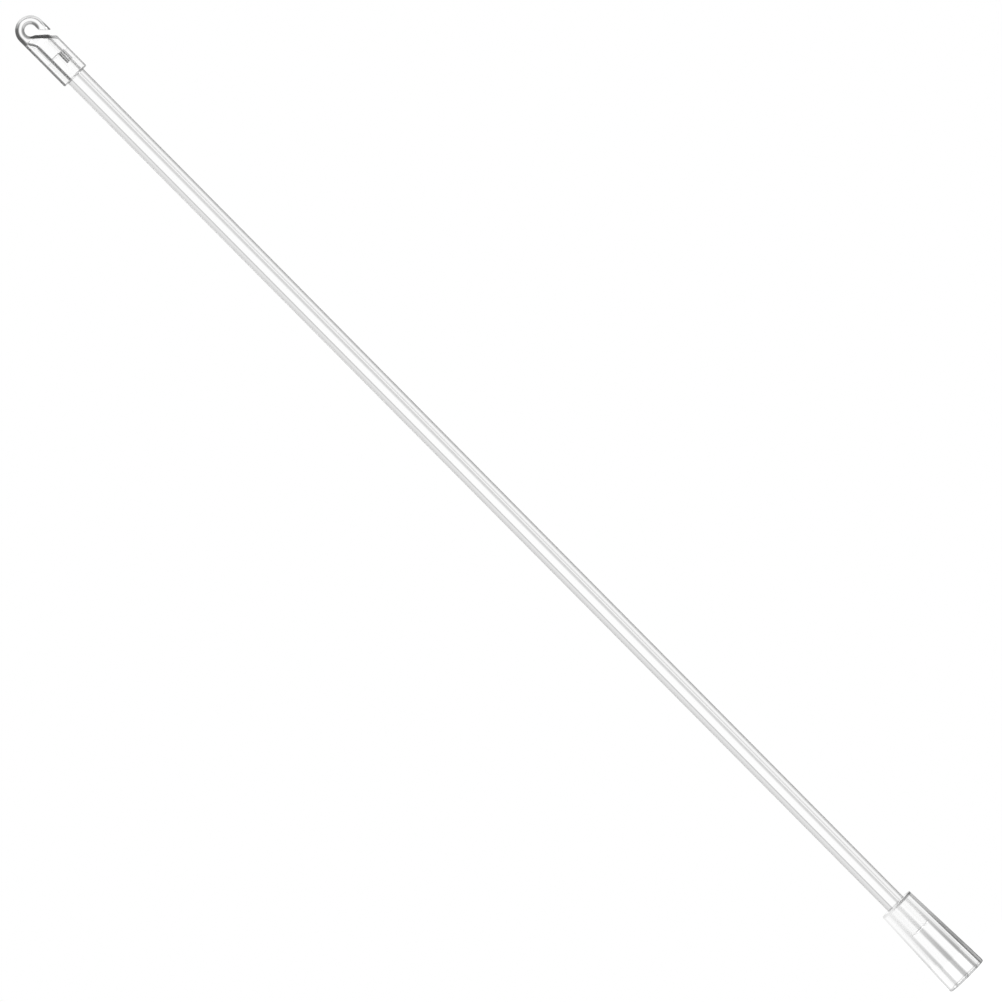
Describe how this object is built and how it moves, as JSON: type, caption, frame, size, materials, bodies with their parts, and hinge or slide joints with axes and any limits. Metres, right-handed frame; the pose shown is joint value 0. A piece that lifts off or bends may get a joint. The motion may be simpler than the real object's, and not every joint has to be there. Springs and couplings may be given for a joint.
{
  "type": "blind tilt wand",
  "caption": "Clear six-sided blind tilt wand with a thin open hook at the top and a tapered fluted grip.",
  "frame": {"origin": "centre of the hook's eye", "axes": "+Z along the rod, up from the grip through the crown of the hook; +X towards the side that the hook opens to; the eye's axis is Y, and -Y is the front, with the window in the sleeve"},
  "size_m": [0.0174, 0.0178, 0.508],
  "materials": {
    "clear_hook": "clear moulded plastic, polished",
    "clear_rod": "clear extruded plastic, faint draw lines along its length",
    "clear_grip": "clear moulded plastic, polished"
  },
  "bodies": {
    "root": {"hook_tip": "clear_hook", "rod": "clear_rod", "grip": "clear_grip"}
  },
  "joints": []
}
